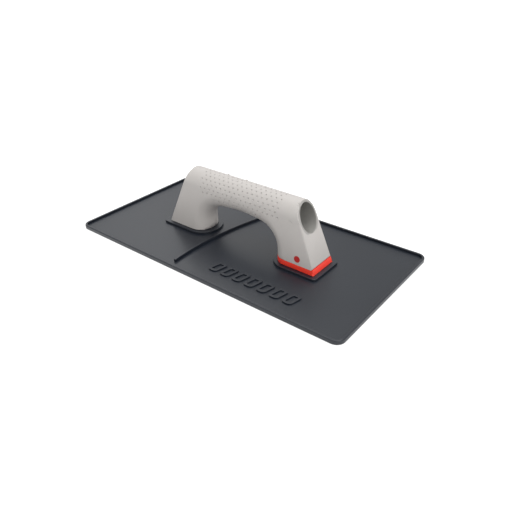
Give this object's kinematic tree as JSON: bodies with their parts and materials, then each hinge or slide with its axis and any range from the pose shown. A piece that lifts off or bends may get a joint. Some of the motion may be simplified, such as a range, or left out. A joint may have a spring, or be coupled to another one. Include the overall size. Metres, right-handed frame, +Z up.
{
  "type": "hand float",
  "caption": "Plasterer's and mason's hand float: flat rimmed rectangular plate with a hollow bridge handle on two raised pads, one foot on a coloured spacer.",
  "frame": {"origin": "centre of the plate's flat working face, which rests on the ground", "axes": "+Z up from the working face to the grip, +X along the plate and the handle towards the foot on the coloured spacer, +Y across the plate"},
  "size_m": [0.3, 0.15, 0.0635],
  "materials": {
    "plate_plastic": "satin moulded, near black",
    "handle_plastic": "satin moulded, warm light grey",
    "spacer_plastic": "satin moulded, red",
    "screw_steel": "zinc plated",
    "insert_brass": "machined"
  },
  "bodies": {
    "root": {"float_plate": "plate_plastic", "handle": "handle_plastic", "foot_spacer": "spacer_plastic", "screw_rear_inner": "screw_steel", "screw_rear_outer": "screw_steel", "screw_front_inner": "screw_steel", "screw_front_outer": "screw_steel", "insert_rear_inner": "insert_brass", "insert_rear_outer": "insert_brass", "insert_front_inner": "insert_brass", "insert_front_outer": "insert_brass"}
  },
  "joints": []
}
